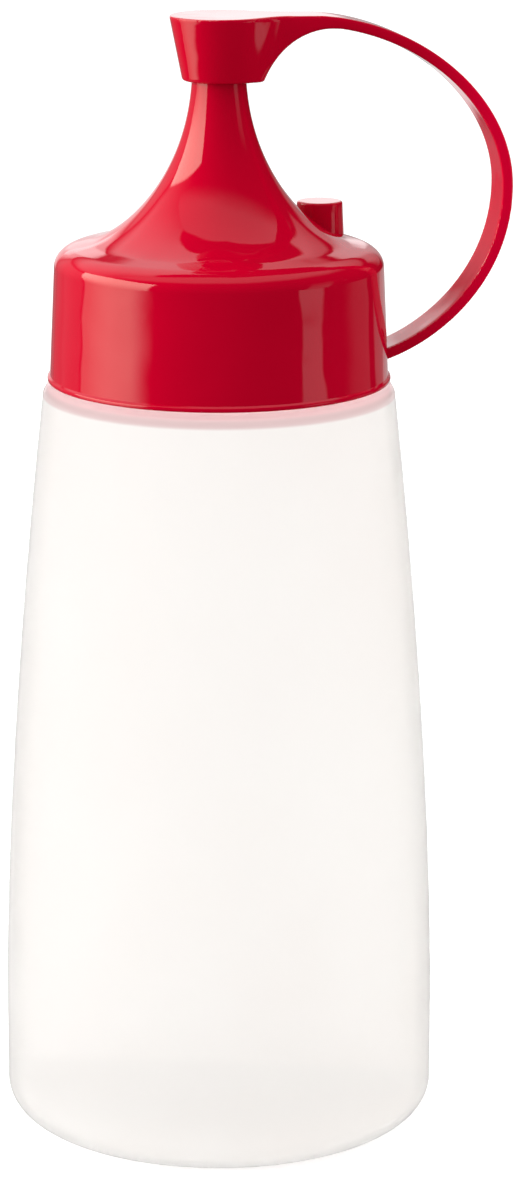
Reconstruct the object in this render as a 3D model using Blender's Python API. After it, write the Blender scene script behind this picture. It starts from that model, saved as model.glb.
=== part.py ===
# Squeeze bottle: a frosted bottle and its one-piece nozzle cap with a tethered stopper.
# Metres, +Z up. The origin is on the bottle's axis in the plane that it stands on, and
# the stopper's strap loops out towards +X.
import math

import bmesh
import bpy
from mathutils import Vector

MM = 0.001
GAP = 0.3 * MM            # between the cap and what it closes
ROUND_STEPS = 64          # facets round the axis

# bottle
BODY_RADIUS = 35.2 * MM
BODY_STRAIGHT = 18.0 * MM           # height of the upright wall at the foot
FOOT_ROUND = 4.8 * MM               # corner under the wall
LEDGE_HEIGHT = 122.5 * MM           # flat shoulder that the cap comes down to
LEDGE_ROUND = 2.4 * MM
LEDGE_RADIUS = 28.3 * MM            # outer radius just under the shoulder's corner
TAPER_POWER = 1.65                  # how the wall draws in towards the shoulder
WALL = 1.0 * MM
NECK_RADIUS = 24.0 * MM
NECK_TOP = 137.5 * MM

# cap: skirt, shoulder and nozzle
SKIRT_FOOT = LEDGE_HEIGHT + GAP
SKIRT_RADIUS = 27.1 * MM            # at the foot
SKIRT_TOP_RADIUS = 26.3 * MM
SKIRT_WALL = 1.7 * MM
LIP_RADIUS = 27.5 * MM              # thin bead round the skirt's foot
LIP_HEIGHT = 0.8 * MM
SHOULDER_REACH = 4.2 * MM           # rounded edge between skirt and shoulder: how far in
SHOULDER_DROP = 3.4 * MM            # and how far down
SHOULDER_SLOPE = 0.22               # fall per unit of radius
FLARE_FOOT = (20.9 * MM, 144.8 * MM)        # radius and height where flare meets shoulder
FLARE_TOP = (4.3 * MM, 171.0 * MM)
FLARE_PULL_LOW = 4.9 * MM                   # along the shoulder's slope
FLARE_PULL_HIGH = (5.15 * MM, 154.5 * MM)
NOZZLE_TIP = (3.4 * MM, 177.4 * MM)
NOZZLE_BORE = 1.9 * MM
CAP_WALL = 1.5 * MM

# stopper over the nozzle
STOPPER_TOP = 180.8 * MM
STOPPER_FOOT = 170.6 * MM
STOPPER_TOP_RADIUS = 7.85 * MM
STOPPER_FOOT_RADIUS = 5.8 * MM
STOPPER_ROUND = 0.35 * MM
SOCKET_FOOT_RADIUS = FLARE_TOP[0] + 0.4 * MM
SOCKET_TOP_RADIUS = NOZZLE_TIP[0] + 0.4 * MM
SOCKET_TOP = NOZZLE_TIP[1] + 0.8 * MM

# strap, in the XZ plane
STRAP_WIDTH = 7.6 * MM
STRAP_THICK = 1.75 * MM
STRAP_EDGE = 0.35 * MM
STRAP_START = (13.0 * MM, STOPPER_TOP - STRAP_THICK / 2)
STRAP_REACH = (46.45 * MM, 152.8 * MM)      # middle of the strap where it is furthest out
STRAP_FOOT = (26.2 * MM, 126.2 * MM)        # inside the skirt's wall
STRAP_FOOT_TILT = math.radians(17)
STRAP_PULLS = (17.7 * MM, 14.2 * MM, 14.5 * MM, 9.6 * MM)
WEB_FOOT = (6.1 * MM, STOPPER_FOOT)         # the web under the strap, beside the stopper
WEB_PULLS = ((7.7 * MM, 174.7 * MM), (12.8 * MM, 179.15 * MM))
WEB_END = 18.3 * MM

# post that holds the stopper when the nozzle is open
POST_PLACE = (18.1 * MM, 7.5 * MM)
POST_TOP_RADIUS = 3.7 * MM
POST_FOOT_RADIUS = 4.0 * MM
POST_TOP = 149.8 * MM
POST_ROUND = 0.4 * MM


def bezier(start, pull_a, pull_b, end, steps):
    """Points of one cubic curve in a plane, both ends included."""
    points = []
    for i in range(steps + 1):
        t = i / steps
        s = 1 - t
        weights = (s ** 3, 3 * s * s * t, 3 * s * t * t, t ** 3)
        corners = (start, pull_a, pull_b, end)
        points.append(tuple(sum(w * c[k] for w, c in zip(weights, corners)) for k in range(2)))
    return points


def arc(centre, radius, start, end, steps, rise=None):
    """Points of an arc, flattened where its rise differs; angles in degrees from +radius."""
    rise = rise or radius
    points = []
    for i in range(steps + 1):
        angle = math.radians(start + (end - start) * i / steps)
        points.append((centre[0] + radius * math.cos(angle), centre[1] + rise * math.sin(angle)))
    return points


def material(name, colour, roughness, alpha=1.0):
    result = bpy.data.materials.new(name)
    result.use_nodes = True
    shader = result.node_tree.nodes["Principled BSDF"]
    shader.inputs["Base Color"].default_value = (*colour, 1)
    shader.inputs["Roughness"].default_value = roughness
    shader.inputs["Metallic"].default_value = 0.0
    shader.inputs["Alpha"].default_value = alpha
    return result


def new_object(name, bm, finish=None):
    """Make an object of a bmesh, with its faces pointing out."""
    bmesh.ops.recalc_face_normals(bm, faces=bm.faces)
    mesh = bpy.data.meshes.new(name)
    bm.to_mesh(mesh)
    bm.free()
    if finish:
        mesh.materials.append(finish)
    obj = bpy.data.objects.new(name, mesh)
    bpy.context.collection.objects.link(obj)
    return obj


def smooth(obj):
    obj.data.shade_smooth()
    obj.data.set_sharp_from_angle(angle=math.radians(35))


def turned(name, outline, closed=False, place=(0.0, 0.0), steps=ROUND_STEPS, finish=None):
    """Turn an outline of (radius, height) points about a vertical axis through a place."""
    bm = bmesh.new()
    verts = [bm.verts.new((radius, 0, height)) for radius, height in outline]
    edges = [bm.edges.new(pair) for pair in zip(verts, verts[1:])]
    if closed:
        edges.append(bm.edges.new((verts[-1], verts[0])))
    bmesh.ops.spin(bm, geom=verts + edges, cent=(0, 0, 0), axis=(0, 0, 1),
                   angle=2 * math.pi, steps=steps, use_merge=True)
    bmesh.ops.remove_doubles(bm, verts=bm.verts, dist=1e-6)
    bmesh.ops.translate(bm, verts=bm.verts, vec=Vector((*place, 0)))
    return new_object(name, bm, finish)


def joined(base, others, operation):
    """Apply one Boolean of the other objects to the base, and remove them."""
    group = bpy.data.collections.new("operands")
    bpy.context.scene.collection.children.link(group)
    for obj in others:
        bpy.context.collection.objects.unlink(obj)
        group.objects.link(obj)
    cut = base.modifiers.new("join", "BOOLEAN")
    cut.operation = operation
    cut.solver = "EXACT"
    cut.operand_type = "COLLECTION"
    cut.collection = group
    depsgraph = bpy.context.evaluated_depsgraph_get()
    mesh = bpy.data.meshes.new_from_object(base.evaluated_get(depsgraph))
    base.modifiers.remove(cut)
    base.data = mesh
    for obj in others:
        bpy.data.objects.remove(obj)
    bpy.data.collections.remove(group)


def wall_radius(height):
    """Outer radius of the bottle's wall: upright at the foot, then drawn in."""
    rise = (height - BODY_STRAIGHT) / (LEDGE_HEIGHT - LEDGE_ROUND - BODY_STRAIGHT)
    return BODY_RADIUS - (BODY_RADIUS - LEDGE_RADIUS) * max(rise, 0.0) ** TAPER_POWER


def bottle_outline():
    """From the middle of the foot, up the outside, over the mouth and down the inside."""
    shoulder = LEDGE_HEIGHT - LEDGE_ROUND
    wall_steps = 9
    heights = [BODY_STRAIGHT + (shoulder - BODY_STRAIGHT) * i / wall_steps for i in range(wall_steps + 1)]

    outline = [(0.0, 0.0)]
    outline += arc((BODY_RADIUS - FOOT_ROUND, FOOT_ROUND), FOOT_ROUND, -90, 0, 5)
    outline += [(wall_radius(z), z) for z in heights]
    outline += arc((LEDGE_RADIUS - LEDGE_ROUND, shoulder), LEDGE_ROUND, 15, 90, 4)
    outline += [(NECK_RADIUS, LEDGE_HEIGHT), (NECK_RADIUS, NECK_TOP)]

    inside = NECK_RADIUS - WALL
    ceiling = LEDGE_HEIGHT - WALL
    outline += [(inside, NECK_TOP), (inside, ceiling), (LEDGE_RADIUS - LEDGE_ROUND, ceiling)]
    outline += [(wall_radius(z) - WALL, z) for z in reversed(heights)]
    outline += arc((BODY_RADIUS - FOOT_ROUND, FOOT_ROUND), FOOT_ROUND - WALL, 0, -90, 4)
    outline.append((0.0, WALL))
    return outline


def flare(thickness, steps):
    """The nozzle's flare from its foot up, drawn in by a wall's thickness."""
    pull_low = (FLARE_FOOT[0] - FLARE_PULL_LOW, FLARE_FOOT[1] + FLARE_PULL_LOW * SHOULDER_SLOPE)
    curve = bezier(FLARE_FOOT, pull_low, FLARE_PULL_HIGH, FLARE_TOP, steps)
    if not thickness:
        return curve
    inner = []
    for i, (radius, height) in enumerate(curve):
        before = curve[max(i - 1, 0)]
        after = curve[min(i + 1, steps)]
        run = Vector((after[0] - before[0], after[1] - before[1])).normalized()
        inner.append((radius - run.y * thickness, height + run.x * thickness))
    return inner


def shell_outline():
    """Closed section of the skirt, the shoulder and the nozzle, bore included."""
    turn = math.atan2(SHOULDER_DROP, SHOULDER_REACH * SHOULDER_SLOPE)
    centre_radius = SKIRT_TOP_RADIUS - SHOULDER_REACH
    edge_radius = centre_radius + SHOULDER_REACH * math.cos(turn)
    edge_height = FLARE_FOOT[1] - (edge_radius - FLARE_FOOT[0]) * SHOULDER_SLOPE
    corner = (centre_radius, edge_height - SHOULDER_DROP * math.sin(turn))
    turn = math.degrees(turn)

    outer = [(LIP_RADIUS, SKIRT_FOOT), (LIP_RADIUS, SKIRT_FOOT + LIP_HEIGHT / 2)]
    outer.append((SKIRT_RADIUS, SKIRT_FOOT + LIP_HEIGHT))
    outer += arc(corner, SHOULDER_REACH, 0, turn, 6, SHOULDER_DROP)
    outer += flare(0, 15)
    outer.append(NOZZLE_TIP)

    inner = [(NOZZLE_BORE, NOZZLE_TIP[1])]
    inner += [point for point in reversed(flare(CAP_WALL, 10)) if point[0] > NOZZLE_BORE]
    inner += arc(corner, SHOULDER_REACH - CAP_WALL, turn, 0, 3, SHOULDER_DROP - CAP_WALL)
    inner.append((SKIRT_RADIUS - SKIRT_WALL, SKIRT_FOOT))
    return outer + inner


def stopper_outline():
    """The stopper's cup without its socket."""
    outline = [(0.0, STOPPER_FOOT), (STOPPER_FOOT_RADIUS, STOPPER_FOOT)]
    outline += arc((STOPPER_TOP_RADIUS - STOPPER_ROUND, STOPPER_TOP - STOPPER_ROUND), STOPPER_ROUND, 0, 90, 2)
    outline.append((0.0, STOPPER_TOP))
    return outline


def socket_outline():
    """The hollow that the nozzle's tip stands in, run out below the stopper."""
    below = STOPPER_FOOT - 1.0 * MM
    return [(0.0, below), (SOCKET_FOOT_RADIUS, below), (SOCKET_FOOT_RADIUS, STOPPER_FOOT),
            (SOCKET_TOP_RADIUS, SOCKET_TOP), (0.0, SOCKET_TOP)]


def strap_middle(steps):
    """Middle line of the strap, from above the web round to the skirt."""
    top, out, down, back = STRAP_PULLS
    upper = bezier(STRAP_START, (STRAP_START[0] + top, STRAP_START[1]),
                   (STRAP_REACH[0], STRAP_REACH[1] + out), STRAP_REACH, steps)
    heel = (STRAP_FOOT[0] + back * math.cos(STRAP_FOOT_TILT), STRAP_FOOT[1] + back * math.sin(STRAP_FOOT_TILT))
    lower = bezier(STRAP_REACH, (STRAP_REACH[0], STRAP_REACH[1] - down), heel, STRAP_FOOT, steps)
    return upper + lower[1:]


def strap_outline():
    """Side view of the strap and its web as one closed outline."""
    middle = strap_middle(20)
    outer = []
    inner = []
    for i, (x, z) in enumerate(middle):
        before = middle[max(i - 1, 0)]
        after = middle[min(i + 1, len(middle) - 1)]
        run = Vector((after[0] - before[0], after[1] - before[1])).normalized()
        half = STRAP_THICK / 2
        outer.append((x - run.y * half, z + run.x * half))
        inner.append((x + run.y * half, z - run.x * half))

    web_top = (WEB_END, next(z for x, z in inner if x > WEB_END))
    web = bezier(WEB_FOOT, WEB_PULLS[0], WEB_PULLS[1], web_top, 9)
    under = [point for point in inner if point[0] > WEB_END]
    inset = STOPPER_FOOT_RADIUS - 2.4 * MM
    drop = 0.12 * MM                       # keeps the strap's top clear of the stopper's
    outline = [(inset, STOPPER_TOP - drop)]
    outline += [(x, min(z, STOPPER_TOP - drop)) for x, z in outer]
    outline += reversed(under)
    outline += reversed(web)
    outline.append((inset, STOPPER_FOOT))
    return outline


def strap():
    """The strap's outline given its width, with rounded long edges."""
    bm = bmesh.new()
    face = bm.faces.new([bm.verts.new((x, -STRAP_WIDTH / 2, z)) for x, z in strap_outline()])
    wide = bmesh.ops.extrude_face_region(bm, geom=[face])
    moved = [item for item in wide["geom"] if isinstance(item, bmesh.types.BMVert)]
    bmesh.ops.translate(bm, verts=moved, vec=Vector((0, STRAP_WIDTH, 0)))
    bmesh.ops.recalc_face_normals(bm, faces=bm.faces)
    rims = [edge for edge in bm.edges if abs(edge.verts[0].co.y - edge.verts[1].co.y) < GAP]
    bmesh.ops.bevel(bm, geom=rims, offset=STRAP_EDGE, segments=2, profile=0.5, affect="EDGES")
    return new_object("strap", bm)


def post():
    """A short round post on the cap's shoulder."""
    foot = FLARE_FOOT[1] - CAP_WALL
    outline = [(0.0, foot), (POST_FOOT_RADIUS, foot)]
    outline += arc((POST_TOP_RADIUS - POST_ROUND, POST_TOP - POST_ROUND), POST_ROUND, 0, 90, 2)
    outline.append((0.0, POST_TOP))
    return turned("post", outline, place=POST_PLACE, steps=28)


def bottle():
    frosted = material("frosted_plastic", (0.90, 0.88, 0.85), 0.45, alpha=0.7)
    smooth(turned("bottle", bottle_outline(), finish=frosted))


def cap():
    red = material("red_plastic", (0.45, 0.0, 0.016), 0.1)
    stopper = turned("stopper", stopper_outline(), steps=40)
    joined(stopper, [strap()], "UNION")
    joined(stopper, [turned("socket", socket_outline(), steps=32)], "DIFFERENCE")
    shell = turned("cap", shell_outline(), closed=True, finish=red)
    joined(shell, [post(), stopper], "UNION")
    smooth(shell)


for old in list(bpy.data.objects):
    bpy.data.objects.remove(old)
bottle()
cap()
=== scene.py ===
import math
import bmesh
import bpy
from mathutils import Matrix, Vector


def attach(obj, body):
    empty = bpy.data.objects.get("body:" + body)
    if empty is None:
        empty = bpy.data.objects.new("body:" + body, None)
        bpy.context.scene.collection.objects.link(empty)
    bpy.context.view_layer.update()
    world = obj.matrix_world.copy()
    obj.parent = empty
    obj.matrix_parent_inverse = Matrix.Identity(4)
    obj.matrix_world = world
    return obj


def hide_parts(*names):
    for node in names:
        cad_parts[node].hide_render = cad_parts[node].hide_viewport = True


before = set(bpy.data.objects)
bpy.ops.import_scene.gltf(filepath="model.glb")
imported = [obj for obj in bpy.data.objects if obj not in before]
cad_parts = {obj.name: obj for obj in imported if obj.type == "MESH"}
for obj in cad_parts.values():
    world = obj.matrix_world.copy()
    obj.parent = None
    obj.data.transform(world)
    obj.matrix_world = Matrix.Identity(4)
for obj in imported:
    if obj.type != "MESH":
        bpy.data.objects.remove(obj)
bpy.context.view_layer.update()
mm = 0.001
print("frame loaded, nodes:", ", ".join(sorted(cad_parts)))


class Wire:
    # one output socket, so that plain arithmetic adds Math nodes
    def __init__(self, graph, socket):
        self.graph = graph
        self.socket = socket

    def out(self, name):
        return Wire(self.graph, self.socket.node.outputs[name])

    def maths(self, operation, *others):
        values = dict(enumerate((self,) + others))
        return self.graph.add("ShaderNodeMath", {"operation": operation}, values)

    def __add__(self, other):
        return self.maths("ADD", other)

    def __radd__(self, other):
        return self.maths("ADD", other)

    def __sub__(self, other):
        return self.maths("SUBTRACT", other)

    def __rsub__(self, other):
        return self.graph.add("ShaderNodeMath", {"operation": "SUBTRACT"}, {0: other, 1: self})

    def __mul__(self, other):
        return self.maths("MULTIPLY", other)

    def __rmul__(self, other):
        return self.maths("MULTIPLY", other)

    def __truediv__(self, other):
        return self.maths("DIVIDE", other)

    def __rtruediv__(self, other):
        return self.graph.add("ShaderNodeMath", {"operation": "DIVIDE"}, {0: other, 1: self})

    def __neg__(self):
        return self.maths("MULTIPLY", -1.0)

    def high(self, other):
        return self.maths("MAXIMUM", other)

    def low(self, other):
        return self.maths("MINIMUM", other)

    def size(self):
        return self.maths("ABSOLUTE")

    def root(self):
        return self.maths("SQRT")

    def between(self, start, end, low=0.0, high=1.0):
        # low below start, high above end, smooth on the way
        sockets = {"Value": self, "From Min": start, "From Max": end, "To Min": low, "To Max": high}
        return self.graph.add("ShaderNodeMapRange", {"interpolation_type": "SMOOTHSTEP"}, sockets)

    def past(self, edge, soft):
        # one beyond a soft edge, nothing before it
        return self.between(edge - soft, edge + soft)


class Graph:
    def __init__(self, tree):
        self.tree = tree

    def add(self, kind, settings=None, sockets=None, out=0):
        node = self.tree.nodes.new(kind)
        for key, value in (settings or {}).items():
            setattr(node, key, value)
        for key, value in (sockets or {}).items():
            if isinstance(value, Wire):
                self.tree.links.new(value.socket, node.inputs[key])
            else:
                node.inputs[key].default_value = value
        return Wire(self, node.outputs[out] if len(node.outputs) else node.inputs[0])

    def blend(self, factor, first, second):
        # colours, plain ones given as red, green and blue
        pair = [colour if isinstance(colour, Wire) else (*colour, 1) for colour in (first, second)]
        return self.add("ShaderNodeMix", {"data_type": "RGBA"}, {0: factor, 6: pair[0], 7: pair[1]}, 2)

    def dot(self, first, second):
        sockets = {0: first, 1: second}
        return self.add("ShaderNodeVectorMath", {"operation": "DOT_PRODUCT"}, sockets, "Value")

    def noise(self, place, keys):
        scale, detail = keys
        return self.add("ShaderNodeTexNoise", None, {"Vector": place, "Scale": scale, "Detail": detail})


def newMaterial(name):
    material = bpy.data.materials.new(name)
    material.use_nodes = True
    material.node_tree.nodes.clear()
    return material, Graph(material.node_tree)


def newGeometryTree(name, inputs):
    tree = bpy.data.node_groups.new(name, "GeometryNodeTree")
    tree.interface.new_socket("Geometry", in_out="INPUT", socket_type="NodeSocketGeometry")
    for label, kind in inputs:
        tree.interface.new_socket(label, in_out="INPUT", socket_type=kind)
    tree.interface.new_socket("Geometry", in_out="OUTPUT", socket_type="NodeSocketGeometry")
    graph = Graph(tree)
    return graph, graph.add("NodeGroupInput")


def endTree(graph, given, geometry):
    # every tree ends the same way: real geometry, with its finish
    real = graph.add("GeometryNodeRealizeInstances", None, {"Geometry": geometry})
    sockets = {"Geometry": real, "Material": given.out("Finish")}
    done = graph.add("GeometryNodeSetMaterial", None, sockets)
    graph.add("NodeGroupOutput", None, {"Geometry": done})


def grow(name, source, graph, values):
    # run a tree on a curve or mesh, and keep the result as a plain mesh
    holder = bpy.data.objects.new(name + "Source", source)
    bpy.context.scene.collection.objects.link(holder)
    modifier = holder.modifiers.new("shape", "NODES")
    modifier.node_group = graph.tree
    for item in graph.tree.interface.items_tree:
        if item.in_out == "INPUT" and item.name in values:
            modifier[item.identifier] = values[item.name]
    depsgraph = bpy.context.evaluated_depsgraph_get()
    mesh = bpy.data.meshes.new_from_object(holder.evaluated_get(depsgraph), depsgraph=depsgraph)
    holder.modifiers.remove(modifier)
    bpy.data.objects.remove(holder)
    mesh.name = name
    result = bpy.data.objects.new(name, mesh)
    bpy.context.scene.collection.objects.link(result)
    return result


def bezier(start, pullA, pullB, end, steps):
    points = []
    for i in range(steps + 1):
        t = i / steps
        rest = 1 - t
        weights = (rest ** 3, 3 * rest * rest * t, 3 * rest * t * t, t ** 3)
        corners = (start, pullA, pullB, end)
        points.append(tuple(sum(w * c[axis] for w, c in zip(weights, corners)) for axis in range(2)))
    return points


def arc(centre, radius, start, end, steps, rise=None):
    # flattened where its rise differs from its radius
    points = []
    for i in range(steps + 1):
        angle = math.radians(start + (end - start) * i / steps)
        across = radius * math.cos(angle)
        points.append((centre[0] + across, centre[1] + (rise or radius) * math.sin(angle)))
    return points


def line(start, end, steps):
    # points from start to just before end
    return [tuple(a + (b - a) * i / steps for a, b in zip(start, end)) for i in range(steps)]


def offset(points, distance):
    # move a line of points to its left
    moved = []
    for i, (x, z) in enumerate(points):
        before = points[max(i - 1, 0)]
        after = points[min(i + 1, len(points) - 1)]
        run = Vector((after[0] - before[0], after[1] - before[1])).normalized()
        moved.append((x - run.y * distance, z + run.x * distance))
    return moved


def profileCurve(name, points, closed):
    curve = bpy.data.curves.new(name, "CURVE")
    curve.dimensions = "3D"
    spline = curve.splines.new("POLY")
    spline.points.add(len(points) - 1)
    for point, (radius, height) in zip(spline.points, points):
        point.co = (radius, -height, 0, 1)
    spline.use_cyclic_u = closed
    return curve


def turningTree():
    # swings a half section round the axis and closes the poles
    inputs = [("Steps round", "NodeSocketInt"), ("Finish", "NodeSocketMaterial")]
    graph, given = newGeometryTree("turning", inputs)
    hub = 1e-6                          # of the ring that carries the section, merged away below
    sockets = {"Resolution": given.out("Steps round"), "Radius": hub}
    circle = graph.add("GeometryNodeCurvePrimitiveCircle", None, sockets)
    sockets = {"Curve": circle, "Profile Curve": given.out("Geometry")}
    swung = graph.add("GeometryNodeCurveToMesh", None, sockets)
    closed = graph.add("GeometryNodeMergeByDistance", None, {"Geometry": swung, "Distance": 4 * hub})
    faced = graph.add("GeometryNodeFlipFaces", None, {"Mesh": closed})
    endTree(graph, given, faced)
    return graph


turning = turningTree()


def turned(name, points, closed, steps, finish):
    curve = profileCurve(name, points, closed)
    return grow(name, curve, turning, {"Steps round": steps, "Finish": finish})


def smoothShade(piece, angle):
    piece.data.shade_smooth()
    piece.data.set_sharp_from_angle(angle=math.radians(angle))


frostKeys = {
    "colour": (0.975, 0.962, 0.948),
    "cloud": (0.965, 0.946, 0.930),
    "clouds": (28.0, 3.0),              # scale and detail
    "cloudRange": (0.35, 0.7),
    "base": (0.940, 0.928, 0.915),      # painted shade: darker where the shadowed base shows through the wall
    "baseShadeLean": (0.114, 0.385, 1.0),    # the way that its edge is tilted
    "baseShadeEdge": (4.4 * mm, 6.6 * mm),   # along the lean
    "baseShadeFoot": (5.0 * mm, 10.5 * mm),  # it clears again towards the foot
    "ledge": (0.785, 0.61, 0.615),      # painted shade and painted red light from the cap: the ledge darker and pinker
    "paintedLedgeEdge": (120.1 * mm, 120.6 * mm),
    "paintedCapLight": (0.88, 0.60, 0.62),        # painted red light from the cap, pinker right beside it
    "paintedCapLightEdge": (121.2 * mm, 122.4 * mm),
    "glow": (0.20, 0.17, 0.17),         # painted glow: emitted light that stands in for the cap's light scattered there
    "roughness": 0.5,
    "ior": 1.07,                        # low, so that the wall scatters more than it bends
    "transmission": 0.92,
    "gloss": 0.2,
    "grain": (2600.0, 2.0),
    "grainRough": 0.10,
    "grainStrength": 0.12,
    "grainDepth": 0.08 * mm,
}


def frostedFinish():
    keys = frostKeys
    material, graph = newMaterial("frostedPlastic")
    place = graph.add("ShaderNodeTexCoord").out("Object")
    height = graph.add("ShaderNodeSeparateXYZ", None, {0: place}, "Z")
    clouds = graph.noise(place, keys["clouds"]).between(*keys["cloudRange"])
    colour = graph.blend(clouds, keys["colour"], keys["cloud"])
    # painted shade and painted red light from the cap over the ledge
    colour = graph.blend(height.between(*keys["paintedLedgeEdge"]), colour, keys["ledge"])
    # painted light: pinker right beside the cap, as if lit red by it
    paintedCapLight = height.between(*keys["paintedCapLightEdge"])
    colour = graph.blend(paintedCapLight, colour, keys["paintedCapLight"])
    # painted shade: a darker band low down on the front of the wall, where the shadowed base shows
    # through
    base = 1 - graph.dot(place, keys["baseShadeLean"]).between(*keys["baseShadeEdge"])
    base = base * height.between(*keys["baseShadeFoot"])
    colour = graph.blend(base, colour, keys["base"])

    grain = graph.noise(place, keys["grain"])
    bump = graph.add("ShaderNodeBump", None, {
        "Height": grain,
        "Strength": keys["grainStrength"],
        "Distance": keys["grainDepth"],
    })
    shader = graph.add("ShaderNodeBsdfPrincipled", None, {
        "Base Color": colour,
        "Roughness": grain * keys["grainRough"] + (keys["roughness"] - keys["grainRough"] / 2),
        "IOR": keys["ior"],
        "Transmission Weight": keys["transmission"],
        "Specular IOR Level": keys["gloss"],
        # painted glow beside the cap, though the plastic is no lamp
        "Emission Color": graph.blend(paintedCapLight, (0, 0, 0), keys["glow"]),
        "Emission Strength": 1.0,
        "Normal": bump,
    })
    graph.add("ShaderNodeOutputMaterial", None, {"Surface": shader})
    return material


redKeys = {
    "colour": (0.45, 0.0, 0.016),
    "deep": (0.43, 0.0, 0.015),
    "clouds": (35.0, 2.0),              # scale and detail
    "cloudRange": (0.35, 0.7),
    "thin": (0.66, 0.0, 0.028),         # painted light: the strap lighter, standing in for light that comes through it
    "thinEdge": (30.0 * mm, 46.0 * mm),
    "roughness": 0.045,
    "ior": 1.49,
    "waves": (120.0, 1.0),              # the slight unevenness of the moulding
    "waveStrength": 0.25,
    "waveDepth": 0.7 * mm,
    "peel": (900.0, 1.0),
    "peelHeight": 0.012,
    "peelRough": 0.04,
}


def redFinish():
    keys = redKeys
    material, graph = newMaterial("redPlastic")
    place = graph.add("ShaderNodeTexCoord").out("Object")
    outward = graph.add("ShaderNodeSeparateXYZ", None, {0: place}, "X")
    clouds = graph.noise(place, keys["clouds"]).between(*keys["cloudRange"])
    colour = graph.blend(clouds, keys["colour"], keys["deep"])
    # painted light: lighter out along the strap, as if lit through from behind
    colour = graph.blend(outward.between(*keys["thinEdge"]), colour, keys["thin"])
    peel = graph.noise(place, keys["peel"])
    bump = graph.add("ShaderNodeBump", None, {
        "Height": graph.noise(place, keys["waves"]) + peel * keys["peelHeight"],
        "Strength": keys["waveStrength"],
        "Distance": keys["waveDepth"],
    })
    shader = graph.add("ShaderNodeBsdfPrincipled", None, {
        "Base Color": colour,
        "Roughness": peel * keys["peelRough"] + (keys["roughness"] - keys["peelRough"] / 2),
        "IOR": keys["ior"],
        "Normal": bump,
    })
    graph.add("ShaderNodeOutputMaterial", None, {"Surface": shader})
    return material


frosted = frostedFinish()
red = redFinish()
print("finishes made")

bottleKeys = {
    "bodyRadius": 35.2 * mm,
    "bodyStraight": 18.0 * mm,
    "footRound": 4.8 * mm,
    "ledgeHeight": 122.5 * mm,
    "ledgeRound": 2.4 * mm,
    "ledgeRadius": 28.3 * mm,
    "ledgeStart": 8,                    # degrees of its round that the drawn-in wall takes
    "taperPower": 1.65,
    "wall": 1.0 * mm,
    "neckRadius": 24.0 * mm,
    "neckTop": 137.5 * mm,
    "neckFoot": 0.5 * mm,               # small slants at the neck's foot and mouth
    "mouthOuter": 0.3 * mm,
    "mouthInner": 0.2 * mm,
    "stepsRound": 240,
    "wallSteps": 60,
    "sharp": 40,                        # degrees from which an edge stays sharp
}


def wallRadius(height):
    # upright at the foot, then drawn in towards the shoulder
    keys = bottleKeys
    top = keys["ledgeHeight"] - keys["ledgeRound"]
    rise = max((height - keys["bodyStraight"]) / (top - keys["bodyStraight"]), 0.0)
    return keys["bodyRadius"] - (keys["bodyRadius"] - keys["ledgeRadius"]) * rise ** keys["taperPower"]


def bottleSection():
    # from the middle of the foot up the outside, over the mouth and down the inside
    keys = bottleKeys
    body = keys["bodyRadius"]
    wall = keys["wall"]
    straight = keys["bodyStraight"]
    footRound = keys["footRound"]
    ledgeRound = keys["ledgeRound"]
    ledge = keys["ledgeHeight"]
    shoulder = ledge - ledgeRound
    run = shoulder - straight
    heights = [straight + run * i / keys["wallSteps"] for i in range(keys["wallSteps"] + 1)]
    foot = (body - footRound, footRound)
    corner = (keys["ledgeRadius"] - ledgeRound, shoulder)
    neck = keys["neckRadius"]
    top = keys["neckTop"]
    slant = keys["neckFoot"]
    outer = keys["mouthOuter"]
    inner = keys["mouthInner"]

    points = line((0.0, 0.0), (foot[0], 0.0), steps=12)
    points += arc(foot, footRound, -90, 0, steps=16)
    points += line((body, footRound + mm), (body, straight), steps=6)
    points += [(wallRadius(height), height) for height in heights]
    points += arc(corner, ledgeRound, keys["ledgeStart"], 90, steps=12)
    points += [(neck + slant, ledge), (neck, ledge + slant)]
    points += [(neck, top - outer), (neck - outer, top)]

    inside = neck - wall
    points += [(inside + inner, top), (inside, top - inner), (inside, ledge - wall)]
    points += arc(corner, ledgeRound - wall, 90, keys["ledgeStart"], steps=8)
    points += [(wallRadius(height) - wall, height) for height in reversed(heights[::2])]
    points += arc(foot, footRound - wall, 0, -90, steps=12)
    points += line((foot[0] - mm, wall), (0.0, wall), steps=10)
    points.append((0.0, wall))
    return points


bottle = turned("frostedBottle", bottleSection(), False, bottleKeys["stepsRound"], frosted)
smoothShade(bottle, bottleKeys["sharp"])
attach(bottle, "root")
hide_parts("bottle")
print("bottle made")

capKeys = {
    "gap": 0.3 * mm,                    # above the bottle's ledge
    "skirtRadius": 27.1 * mm,
    "skirtTopRadius": 26.3 * mm,
    "skirtWall": 1.7 * mm,
    "lipRadius": 27.5 * mm,
    "lipHeight": 0.8 * mm,
    "bead": 0.3 * mm,                   # rounding of the lip and the nozzle's tip
    "shoulderReach": 4.2 * mm,          # rounded edge over the skirt: how far in
    "shoulderDrop": 3.4 * mm,           # and how far down
    "shoulderSlope": 0.22,
    "flareFoot": (20.9 * mm, 144.8 * mm),
    "flareTop": (4.3 * mm, 171.0 * mm),
    "flarePullLow": 4.9 * mm,           # along the shoulder's slope
    "flarePullHigh": (5.15 * mm, 154.5 * mm),
    "nozzleTip": (3.4 * mm, 177.4 * mm),
    "nozzleBore": 1.9 * mm,
    "boreStep": 0.2 * mm,               # how much wider the hollow ends, under the bore
    "wall": 1.5 * mm,
    "stepsRound": 288,
    "sharp": 32,
}
postKeys = {
    "place": (18.1 * mm, 7.5 * mm),
    "topRadius": 3.7 * mm,
    "footRadius": 4.0 * mm,
    "top": 149.8 * mm,
    "round": 0.4 * mm,
    "flat": 0.5 * mm,                   # from the rounding to the first point of the flat top
    "stepsRound": 96,
}


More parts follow.
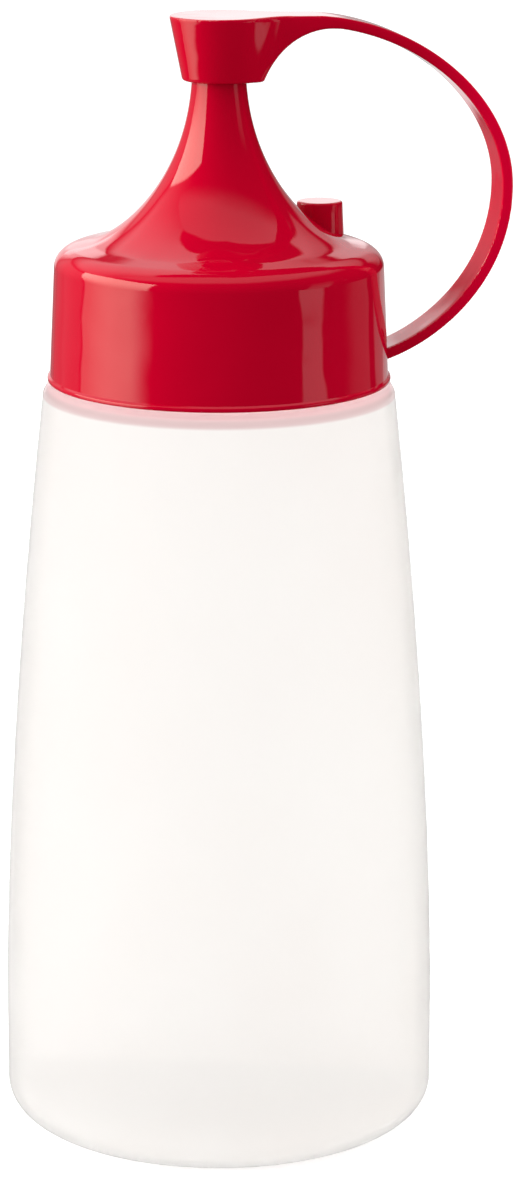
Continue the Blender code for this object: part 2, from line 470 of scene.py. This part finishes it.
def capSection():
    # from the lip up the outside to the nozzle's tip, and down the inside
    keys = capKeys
    slope = keys["shoulderSlope"]
    reach = keys["shoulderReach"]
    drop = keys["shoulderDrop"]
    flareFoot = keys["flareFoot"]
    turn = math.atan2(drop, reach * slope)
    middle = keys["skirtTopRadius"] - reach
    edge = middle + reach * math.cos(turn)
    edgeHeight = flareFoot[1] - (edge - flareFoot[0]) * slope
    corner = (middle, edgeHeight - drop * math.sin(turn))
    turn = math.degrees(turn)
    foot = bottleKeys["ledgeHeight"] + keys["gap"]
    lip = foot + keys["lipHeight"]
    bead = keys["bead"]

    points = arc((keys["lipRadius"] - bead, foot + bead), bead, -90, 0, steps=4)
    points += arc((keys["lipRadius"] - bead, lip - bead), bead, 0, 60, steps=3)
    points += line((keys["skirtRadius"], lip + bead / 2), (keys["skirtTopRadius"], corner[1]), steps=14)
    points += arc(corner, reach, 0, turn, steps=24, rise=drop)
    points += line(points.pop(), flareFoot, steps=5)
    pull = keys["flarePullLow"]
    pullLow = (flareFoot[0] - pull, flareFoot[1] + pull * slope)
    flare = bezier(flareFoot, pullLow, keys["flarePullHigh"], keys["flareTop"], steps=72)
    points += flare
    tip = keys["nozzleTip"]
    bore = keys["nozzleBore"]
    points += [(tip[0], tip[1] - bead), (tip[0] - bead, tip[1]), (bore, tip[1])]

    wall = keys["wall"]
    hollow = reversed(offset(flare, wall)[::3])
    points += [point for point in hollow if point[0] > bore + keys["boreStep"]]
    points += arc(corner, reach - wall, turn, 0, steps=6, rise=drop - wall)
    points.append((keys["skirtRadius"] - keys["skirtWall"], foot))
    return points


def postSection():
    # from inside the shoulder's wall up the side to the middle of the flat top
    keys = postKeys
    foot = capKeys["flareFoot"][1] - capKeys["wall"]
    top = keys["top"]
    sideTop = top - keys["round"]
    flatRadius = keys["topRadius"] - keys["round"]
    points = line((0.0, foot), (keys["footRadius"], foot), steps=3)
    points += line((keys["footRadius"], foot), (keys["topRadius"], sideTop), steps=5)
    points += arc((flatRadius, sideTop), keys["round"], 0, 90, steps=6)
    points += line((flatRadius - keys["flat"], top), (0.0, top), steps=3)
    points.append((0.0, top))
    return points


stopperKeys = {
    "top": 180.8 * mm,
    "foot": 170.6 * mm,
    "topRadius": 7.85 * mm,
    "footRadius": 5.8 * mm,
    "edge": 0.3 * mm,
    "trim": 1.5 * mm,                   # how far past its top radius its foot is cut level
    "socketFoot": 4.7 * mm,
    "socketTop": 3.8 * mm,
    "socketHeight": 178.2 * mm,
}
strapKeys = {
    "width": 7.6 * mm,
    "thick": 1.75 * mm,
    "edge": 0.35 * mm,
    "start": (13.0 * mm, 179.925 * mm), # half its thickness under the stopper's top
    "reach": (46.45 * mm, 152.8 * mm),  # furthest out
    "foot": (26.2 * mm, 126.2 * mm),
    "footTilt": math.radians(17),
    "pulls": (17.7 * mm, 14.2 * mm, 14.5 * mm, 9.6 * mm),   # off start, over and under reach, off foot
    "webFoot": (5.7 * mm, 170.6 * mm),
    "webPulls": ((7.7 * mm, 174.7 * mm), (12.8 * mm, 179.15 * mm)),
    "webEnd": 18.3 * mm,                # where the web has run into the strap
    "root": 3.5 * mm,                   # where the strap starts inside the stopper
    "blend": 6.5 * mm,                  # how softly strap and stopper run together
    "grid": 0.27 * mm,
    "gridFade": 4.0,                    # steps of the grid that the skin is found across
    "gridLow": Vector((-8.6, -8.6, 120.0)) * mm,
    "gridHigh": Vector((48.4, 8.6, 181.2)) * mm,
}


def strapMiddle(steps):
    # middle line of the strap, from above the web round to the skirt
    keys = strapKeys
    top, out, down, back = keys["pulls"]
    start = keys["start"]
    reach = keys["reach"]
    foot = keys["foot"]
    tilt = keys["footTilt"]
    upper = bezier(start, (start[0] + top, start[1]), (reach[0], reach[1] + out), reach, steps)
    heel = (foot[0] + back * math.cos(tilt), foot[1] + back * math.sin(tilt))
    lower = bezier(reach, (reach[0], reach[1] - down), heel, foot, steps)
    return upper + lower[1:]


def strapSide():
    # side view of strap and web, drawn in by the edge's radius, as one flat face
    keys = strapKeys
    edge = keys["edge"]
    webEnd = keys["webEnd"]
    middle = strapMiddle(steps=60)
    half = keys["thick"] / 2
    webTop = next(z for x, z in offset(middle, -half) if x > webEnd)
    web = bezier(keys["webFoot"], *keys["webPulls"], (webEnd, webTop), steps=24)
    web = [(x, z) for x, z in offset(web, edge) if x < webEnd]
    top = stopperKeys["top"] - edge
    foot = stopperKeys["foot"] + edge
    points = [(keys["root"], top)]
    points += [(x, min(z, top)) for x, z in offset(middle, half - edge)]
    points += reversed([point for point in offset(middle, edge - half) if point[0] > webEnd])
    points += reversed(web)
    points += [(web[0][0], foot), (keys["root"], foot)]
    mesh = bpy.data.meshes.new("strapSide")
    bm = bmesh.new()
    bm.faces.new([bm.verts.new((x, 0, z)) for x, z in points])
    bm.normal_update()
    bm.to_mesh(mesh)
    bm.free()
    return mesh


def roundedBoth(first, second, radius):
    # where two solids overlap, with the edge between them rounded
    a = (first + radius).high(0.0)
    b = (second + radius).high(0.0)
    return first.high(second).low(-radius) + (a * a + b * b).root()


def tetherTree():
    # stopper, web and strap as one smooth solid, found on a fine grid
    keys = stopperKeys
    foot = keys["foot"]
    inputs = [("Width", "NodeSocketFloat"), ("Edge", "NodeSocketFloat"), ("Blend", "NodeSocketFloat"),
              ("Grid", "NodeSocketFloat"), ("Finish", "NodeSocketMaterial")]
    graph, given = newGeometryTree("tether", inputs)
    place = graph.add("GeometryNodeInputPosition")
    axes = graph.add("ShaderNodeSeparateXYZ", None, {0: place})
    x = axes.out("X")
    y = axes.out("Y")
    z = axes.out("Z")

    flat = graph.add("ShaderNodeCombineXYZ", None, {"X": x, "Z": z})
    sockets = {"Geometry": given.out("Geometry"), "Sample Position": flat}
    side = graph.add("GeometryNodeProximity", {"target_element": "FACES"}, sockets, "Distance")
    edge = given.out("Edge")
    across = (y.size() - (given.out("Width") * 0.5 - edge)).high(0.0)
    strap = (side * side + across * across).root() - edge

    lean = (keys["topRadius"] - keys["footRadius"]) / (keys["top"] - foot)
    slant = math.cos(math.atan(lean))
    reach = (x * x + y * y).root()
    cone = (reach - ((z - foot) * lean + keys["footRadius"])) * slant
    cone = roundedBoth(cone, foot - z, keys["edge"])
    both = strap.maths("SMOOTH_MIN", cone, given.out("Blend"))
    both = roundedBoth(both, z - keys["top"], keys["edge"])
    both = both.high((foot - z).low(keys["topRadius"] + keys["trim"] - reach))

    narrow = (keys["socketFoot"] - keys["socketTop"]) / (keys["socketHeight"] - foot)
    socket = reach - (keys["socketFoot"] - (z - foot) * narrow)
    socket = socket.high(z - keys["socketHeight"])
    solid = both.high(-socket)

    low = strapKeys["gridLow"]
    high = strapKeys["gridHigh"]
    grid = given.out("Grid")
    density = 0.5 - solid / (grid * strapKeys["gridFade"])
    sockets = {"Density": density, "Background": 0.0, "Min": low, "Max": high}
    for axis, span in zip("XYZ", high - low):
        sockets["Resolution " + axis] = span / grid
    volume = graph.add("GeometryNodeVolumeCube", None, sockets)
    skin = graph.add("GeometryNodeVolumeToMesh", None, {"Volume": volume, "Threshold": 0.5})
    endTree(graph, given, skin)
    return graph


def united(base, others):
    # one solid of several, and the others go
    for other in others:
        modifier = base.modifiers.new("join", "BOOLEAN")
        modifier.operation = "UNION"
        modifier.solver = "MANIFOLD"
        modifier.object = other
    depsgraph = bpy.context.evaluated_depsgraph_get()
    mesh = bpy.data.meshes.new_from_object(base.evaluated_get(depsgraph), depsgraph=depsgraph)
    base.modifiers.clear()
    base.data = mesh
    for other in others:
        bpy.data.objects.remove(other)


tether = grow("tether", strapSide(), tetherTree(), {
    "Width": strapKeys["width"],
    "Edge": strapKeys["edge"],
    "Blend": strapKeys["blend"],
    "Grid": strapKeys["grid"],
    "Finish": red,
})
print("tether made,", len(tether.data.polygons), "faces")
cap = turned("nozzleCap", capSection(), True, capKeys["stepsRound"], red)
post = turned("post", postSection(), False, postKeys["stepsRound"], red)
post.data.transform(Matrix.Translation((*postKeys["place"], 0)))
print("cap parts:", len(cap.data.polygons), len(post.data.polygons))
united(cap, [post, tether])
smoothShade(cap, capKeys["sharp"])
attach(cap, "root")
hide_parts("cap")
print("cap made,", len(cap.data.polygons), "faces")

cameraKeys = {
    "turn": math.radians(11.5),         # how far round from -Y the camera stands
    "tilt": math.radians(14.5),
    "distance": 0.630,                  # from the bottle's axis, level
    "height": 0.249,
    "lens": 120.0,
    "sensor": 36.0,
    "shiftX": 47 / 1200,                # 47 of the frame's 1200 pixels
    "near": 0.01,
}


def aside(turn):
    # level unit vector from the axis, turned by degrees to the right of the camera
    angle = math.radians(turn)
    start = cameraKeys["turn"]
    towards = Vector((-math.sin(start), -math.cos(start), 0))
    right = Vector((math.cos(start), -math.sin(start), 0))
    return towards * math.cos(angle) + right * math.sin(angle)


def makeCamera():
    camera = bpy.data.cameras.new("camera")
    camera.lens = cameraKeys["lens"]
    camera.sensor_width = cameraKeys["sensor"]
    camera.shift_x = cameraKeys["shiftX"]
    camera.clip_start = cameraKeys["near"]
    holder = bpy.data.objects.new("camera", camera)
    holder.location = aside(0) * cameraKeys["distance"] + Vector((0, 0, cameraKeys["height"]))
    holder.rotation_euler = (math.pi / 2 - cameraKeys["tilt"], 0, -cameraKeys["turn"])
    bpy.context.scene.collection.objects.link(holder)
    bpy.context.scene.camera = holder


makeCamera()

lightKeys = {
    # turn from the camera, distance, bottom, top, width, radiance
    "leftBox": (-84, 0.90, -0.12, 0.74, 1.00, 4.8),
    "rightBox": (98, 0.90, -0.20, 0.50, 0.60, 2.5),
    "topBox": (0, 0.00, 0.95, 0.95, 1.05, 0.9),
}
lightScale = 4.0                        # watts for each square metre and unit of radiance


def areaLight(name, width, tall, radiance, centre, facing):
    # shades the plastics only: no ray that looks, mirrors or shines through meets it
    light = bpy.data.lights.new(name, "AREA")
    light.shape = "RECTANGLE"
    light.size = width
    light.size_y = tall
    light.energy = radiance * width * tall * lightScale
    holder = bpy.data.objects.new(name, light)
    holder.location = centre
    holder.rotation_mode = "QUATERNION"
    holder.rotation_quaternion = facing.to_track_quat("-Z", "Y")
    holder.visible_camera = False
    holder.visible_glossy = False
    holder.visible_transmission = False
    bpy.context.scene.collection.objects.link(holder)


for name, (turn, distance, bottom, top, width, radiance) in lightKeys.items():
    centre = aside(turn) * distance + Vector((0, 0, (bottom + top) / 2))
    overhead = distance == 0
    facing = Vector((0, 0, -1)) if overhead else -aside(turn)
    areaLight(name, width, width if overhead else top - bottom, radiance, centre, facing)

windowKeys = {
    # bright fields that the gloss mirrors, each with five pairs: turn from and to, the
    # softness of those edges, lift from and to, their softness, and radiance low and high
    "leftFloor": ((-135, -80), (8, 6), (-60, -22), (3, 2), (0.20, 0.20)),
    "leftBackLow": ((-156, -109), (5, 2), (-18, 23), (4, 2), (0.16, 0.46)),
    "leftBackAside": ((-138, -109), (6, 2), (-14, 23), (4, 2), (0.25, 0.45)),
    "leftHigh": ((-180, -103), (1, 42), (27, 66), (5, 1), (0.95, 1.35)),
    "back": ((-190, -158), (5, 5), (-7, 22.3), (3, 0.8), (0.95, 1.20)),
    "backBright": ((-190, -168), (5, 4), (2, 22.3), (4, 0.8), (1.55, 1.65)),
    "backGlint": ((-178, -162), (3, 4), (10, 17), (2, 3), (2.10, 1.80)),
    "backRightBright": ((173, 190), (2, 5), (1, 12), (4, 2), (1.4, 1.85)),
    "backRight": ((163, 190), (7, 5), (-8, 22), (3, 1), (0.40, 0.85)),
    "rightBackLow": ((151, 190), (5, 5), (4, 21.5), (2, 1), (0.25, 0.55)),
    "rightBackHigh": ((139, 180), (2, 1), (26, 44), (2, 1), (0.35, 0.95)),
    "backdropLow": ((-190, -170), (5, 4), (-30, -5), (4, 3), (1.05, 1.05)),
    "backdropLowRight": ((168, 190), (4, 5), (-30, -5), (4, 3), (0.7, 0.7)),
    "rightStrip": ((57.5, 76), (1, 1.5), (-12, -4), (2, 2), (0.86, 0.86)),
    "rightStripLow": ((81.5, 90), (1.5, 1), (-24, -16), (2, 2), (0.70, 0.70)),
    "rightStripHigh": ((65, 82), (2, 3), (-4, 20), (2, 6), (0.55, 0.20)),
    "rightLow": ((101, 124), (8, 1), (-60, -4), (4, 1.5), (0.15, 0.20)),
    "rightLowBack": ((134, 168), (2, 6), (-60, -6), (4, 1.5), (0.26, 0.28)),
    "rightEdge": ((149, 174), (3, 5), (-18, -6), (4, 1.5), (0.55, 0.55)),
    "leftEdge": ((-176, -154), (5, 2), (-18, -5), (3, 2), (0.20, 0.20)),
}
windowLeans = {
    # slanted edges: turn for each degree of lift, lift for each degree of turn past a pivot
    "rightStripHigh": (0.3, 0.0, 0),
    "rightBackHigh": (0.0, 0.33, 148),
}
boxKeys = {
    # the bright box on the left, laid out flat on: across and up for each unit of distance
    "facing": -78,
    "near": 0.01,                       # least distance ahead, which keeps the other side dark
    "left": -0.55,
    "leanLeft": 0.5,                    # how far its left edge leans out with the height
    "right": 0.53,
    "softRight": (0.22, 0.64),          # where it fades out low down
    "crispFrom": -0.07,
    "crispSoft": 0.02,
    "bottom": -0.49,
    "top": 0.745,
    "leanTop": 0.09,
    "soft": 0.03,
    "radiance": (2.2, 5.4),
    "radianceLift": (-18, 28),
    "fade": 0.6,                        # how far it fades towards its lower left
    "fadeLift": (-5, 18),
    "tint": (1.0, 0.96, 0.80),
}
ceilingKeys = {
    # a soft bright round overhead: tilts away from and to the left of the camera, reach, soft edge
    "tiltBack": math.radians(15),
    "tiltLeft": math.radians(5),
    "reach": 44,
    "soft": 7,
    "radiance": 0.74,
    "backEdge": -0.08,                  # crisp back edge, for each unit of height
    "backSoft": 0.02,
    "rightFrom": (60, 70),              # past here it runs on behind that edge
    "rightEdge": 133,                   # up to here
    "rightSoft": 2,
}
worldKeys = {
    "dark": 0.008,                      # what the gloss mirrors between the fields
    "levelFrom": -15,                   # lowest lift that a field's radiance starts to change at
    "shade": (0.54, 0.85),              # shading light from below and from overhead
    "shadeLift": (-40, 40),
    "through": 1.075,                   # light that comes through the frosted wall
}
degrees = 180 / math.pi


def ceilingField(graph, direction, towards, upward, turn):
    keys = ceilingKeys
    back = aside(0) * math.tan(keys["tiltBack"])
    left = aside(90) * math.tan(keys["tiltLeft"])
    axis = (Vector((0, 0, 1)) - back - left).normalized()
    apart = graph.dot(direction, axis).maths("ARCCOSINE") * degrees
    inner = keys["reach"] - keys["soft"]
    outer = keys["reach"] + keys["soft"]
    disc = apart.between(inner, outer, keys["radiance"], 0.0)
    ahead = (towards - upward * keys["backEdge"]).past(0.0, keys["backSoft"])
    beside = turn.between(*keys["rightFrom"]) * (1 - turn.past(keys["rightEdge"], keys["rightSoft"]))
    return disc * ahead.high(beside)


def windowField(name, turn, lift):
    turns, turnSoft, lifts, liftSoft, radiance = windowKeys[name]
    turnLean, liftLean, pivot = windowLeans.get(name, (0.0, 0.0, 0))
    turnHere = turn - lift * turnLean
    liftHere = lift + (turn - pivot) * liftLean
    field = turnHere.past(turns[0], turnSoft[0]) * (1 - turnHere.past(turns[1], turnSoft[1]))
    field = field * lift.past(lifts[0], liftSoft[0])
    field = field * (1 - liftHere.past(lifts[1], liftSoft[1]))
    levelFrom = max(lifts[0], worldKeys["levelFrom"])
    return field * lift.between(levelFrom, lifts[1], *radiance)


def boxFields(graph, direction, upward, lift):
    # the box's shape alone, and with its radiance
    keys = boxKeys
    left = keys["left"]
    soft = keys["soft"]
    facing = keys["facing"]
    ahead = graph.dot(direction, aside(facing)).high(keys["near"])
    across = graph.dot(direction, aside(facing + 90)) / ahead
    up = upward / ahead
    shape = (across + up.high(0.0) * keys["leanLeft"]).past(left, soft)
    crispness = up.past(keys["crispFrom"], keys["crispSoft"])
    crisp = across.past(keys["right"], soft) * crispness
    fading = across.between(*keys["softRight"]) * (1 - crispness)
    shape = shape * (1 - (crisp + fading))
    shape = shape * up.past(keys["bottom"], soft)
    shape = shape * (1 - (up - across * keys["leanTop"]).past(keys["top"], soft))
    level = lift.between(*keys["radianceLift"], *keys["radiance"])
    fade = (1 - across.between(left, 0.0)) * (1 - lift.between(*keys["fadeLift"]))
    return shape, shape * level * (1 - fade * keys["fade"])


def makeWorld():
    # white where the camera looks, bright fields in the gloss, even light for the rest
    keys = worldKeys
    world = bpy.data.worlds.new("studio")
    world.use_nodes = True
    world.node_tree.nodes.clear()
    graph = Graph(world.node_tree)
    direction = graph.add("ShaderNodeTexCoord").out("Generated")
    towards = graph.dot(direction, aside(0))
    upward = graph.add("ShaderNodeSeparateXYZ", None, {0: direction}, "Z")
    turn = graph.dot(direction, aside(90)).maths("ARCTAN2", towards) * degrees
    lift = upward.maths("ARCSINE") * degrees

    mirrored = ceilingField(graph, direction, towards, upward, turn)
    for name in windowKeys:
        mirrored = mirrored.high(windowField(name, turn, lift))
    boxShape, boxLight = boxFields(graph, direction, upward, lift)
    mirrored = mirrored.high(boxLight) + keys["dark"]

    rays = graph.add("ShaderNodeLightPath")
    seen = rays.out("Is Camera Ray")
    through = rays.out("Is Transmission Ray")
    glossy = rays.out("Is Glossy Ray") * (1 - through)
    shade = lift.between(*keys["shadeLift"], *keys["shade"])
    strength = glossy * mirrored + (1 - glossy) * shade
    strength = through * keys["through"] + (1 - through) * strength
    strength = seen + (1 - seen) * strength
    colour = graph.blend(boxShape * glossy, (1, 1, 1), boxKeys["tint"])
    light = graph.add("ShaderNodeBackground", None, {"Color": colour, "Strength": strength})
    graph.add("ShaderNodeOutputWorld", None, {"Surface": light})
    bpy.context.scene.world = world


makeWorld()

floorKeys = {
    "colour": (0.8, 0.8, 0.8),
    "roughness": 0.9,
    "glow": 0.4,                        # keeps it pale all over
    "radius": 2.0,
    "stepsRound": 96,
}


def makeFloor():
    keys = floorKeys
    material, graph = newMaterial("paleFloor")
    shader = graph.add("ShaderNodeBsdfPrincipled", None, {
        "Base Color": (*keys["colour"], 1),
        "Roughness": keys["roughness"],
        "Emission Color": (1, 1, 1, 1),
        "Emission Strength": keys["glow"],
    })
    graph.add("ShaderNodeOutputMaterial", None, {"Surface": shader})
    mesh = bpy.data.meshes.new("floor")
    bm = bmesh.new()
    bmesh.ops.create_circle(bm, cap_ends=True, radius=keys["radius"], segments=keys["stepsRound"])
    bm.to_mesh(mesh)
    bm.free()
    mesh.materials.append(material)
    floor = bpy.data.objects.new("floor", mesh)
    bpy.context.scene.collection.objects.link(floor)
    floor.visible_glossy = False
    floor.visible_diffuse = False
    floor.visible_transmission = False


makeFloor()
bpy.context.scene.view_settings.view_transform = "Standard"
print("stage made")
